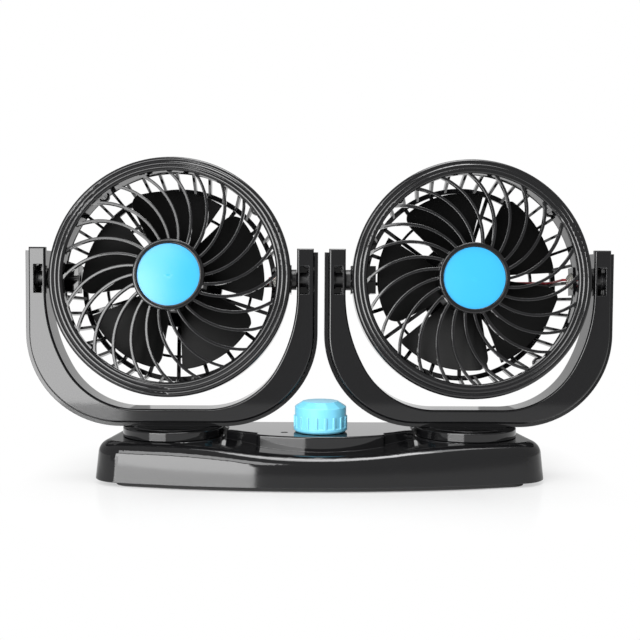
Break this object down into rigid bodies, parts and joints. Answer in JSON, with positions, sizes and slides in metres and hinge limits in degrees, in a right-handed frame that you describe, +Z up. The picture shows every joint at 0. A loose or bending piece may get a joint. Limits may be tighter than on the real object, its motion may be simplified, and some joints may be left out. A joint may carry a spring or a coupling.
{
  "type": "car fan",
  "caption": "Twin-head dashboard fan: round caged fan heads in U-shaped yokes on swivel discs, on one long curved base with a rotary knob between them.",
  "frame": {"origin": "middle of the adhesive face under the base, halfway between the two swivel axes", "axes": "+X along the base to the viewer's right, +Y to the rear (the grilles face -Y), +Z up"},
  "size_m": [0.27, 0.072, 0.1462],
  "materials": {
    "gloss_black": "glossy moulded black plastic",
    "blade_black": "glossy black plastic blades",
    "matte_black": "plain moulded black plastic",
    "badge_blue": "light-blue glossy badge",
    "knob_blue": "light-blue satin knob",
    "motor_steel": "plated steel",
    "screw_steel": "blackened steel",
    "lead_red": "red lead insulation",
    "lead_black": "black lead insulation",
    "glue": "clear hot-melt glue",
    "washer_fibre": "brown fibre washer",
    "foam_black": "black foam adhesive pad",
    "gland_rubber": "black rubber",
    "indicator_lens": "smoked lens"
  },
  "bodies": {
    "base": {"base_top": "gloss_black", "base_bottom": "matte_black", "adhesive_pad": "foam_black", "base_screws": "screw_steel", "rotary_switch": "matte_black", "switch_nut": "motor_steel", "switch_leads": "lead_black", "cord_gland": "gland_rubber", "indicator_led": "indicator_lens"},
    "knob": {"knob": "knob_blue", "switch_shaft": "motor_steel"},
    "left_yoke": {"left_yoke_front": "gloss_black", "left_yoke_rear": "gloss_black", "left_yoke_screws": "screw_steel", "left_yoke_lead": "lead_black", "left_turntable": "gloss_black", "left_turntable_screws": "screw_steel", "left_swivel_retainer": "matte_black", "left_retainer_screws": "screw_steel", "left_swivel_washer": "washer_fibre"},
    "left_head": {"left_front_grille": "gloss_black", "left_badge": "badge_blue", "left_rear_basket": "gloss_black", "left_pivot_stub_left": "gloss_black", "left_pivot_stub_right": "gloss_black", "left_motor_can": "motor_steel", "left_motor_end_cap": "matte_black", "left_motor_cover": "gloss_black", "left_motor_cover_screws": "screw_steel", "left_grille_screws": "screw_steel", "left_motor_lead_red": "lead_red", "left_motor_lead_black": "lead_black", "left_lead_glue": "glue"},
    "left_rotor": {"left_impeller": "blade_black", "left_motor_shaft": "motor_steel"},
    "right_yoke": {"right_yoke_front": "gloss_black", "right_yoke_rear": "gloss_black", "right_yoke_screws": "screw_steel", "right_yoke_lead": "lead_black", "right_turntable": "gloss_black", "right_turntable_screws": "screw_steel", "right_swivel_retainer": "matte_black", "right_retainer_screws": "screw_steel", "right_swivel_washer": "washer_fibre"},
    "right_head": {"right_front_grille": "gloss_black", "right_badge": "badge_blue", "right_rear_basket": "gloss_black", "right_pivot_stub_left": "gloss_black", "right_pivot_stub_right": "gloss_black", "right_motor_can": "motor_steel", "right_motor_end_cap": "matte_black", "right_motor_cover": "gloss_black", "right_motor_cover_screws": "screw_steel", "right_grille_screws": "screw_steel", "right_motor_lead_red": "lead_red", "right_motor_lead_black": "lead_black", "right_lead_glue": "glue"},
    "right_rotor": {"right_impeller": "blade_black", "right_motor_shaft": "motor_steel"}
  },
  "joints": [
    {"name": "left_swivel", "type": "hinge", "parent": "base", "child": "left_yoke", "pos_m": [-0.06825, 0, 0.0205], "axis": [0, 0, 1], "range_deg": [-165, 165]},
    {"name": "left_tilt", "type": "hinge", "parent": "left_yoke", "child": "left_head", "pos_m": [-0.06825, 0, 0.0907], "axis": [-1, 0, 0], "range_deg": [-177, 163]},
    {"name": "left_fan_spin", "type": "hinge", "parent": "left_head", "child": "left_rotor", "pos_m": [-0.06825, 0, 0.0907], "axis": [0, -0.9925, 0.1219], "continuous": true},
    {"name": "right_swivel", "type": "hinge", "parent": "base", "child": "right_yoke", "pos_m": [0.06825, 0, 0.0205], "axis": [0, 0, 1], "range_deg": [-165, 165]},
    {"name": "right_tilt", "type": "hinge", "parent": "right_yoke", "child": "right_head", "pos_m": [0.06825, 0, 0.0907], "axis": [-1, 0, 0], "range_deg": [-174.5, 165.5]},
    {"name": "right_fan_spin", "type": "hinge", "parent": "right_head", "child": "right_rotor", "pos_m": [0.06825, 0, 0.0907], "axis": [0, -0.9969, 0.0785], "continuous": true},
    {"name": "knob_turn", "type": "hinge", "parent": "base", "child": "knob", "pos_m": [0, -0.008, 0.0354], "axis": [0, 0, -1], "range_deg": [0, 90]}
  ]
}
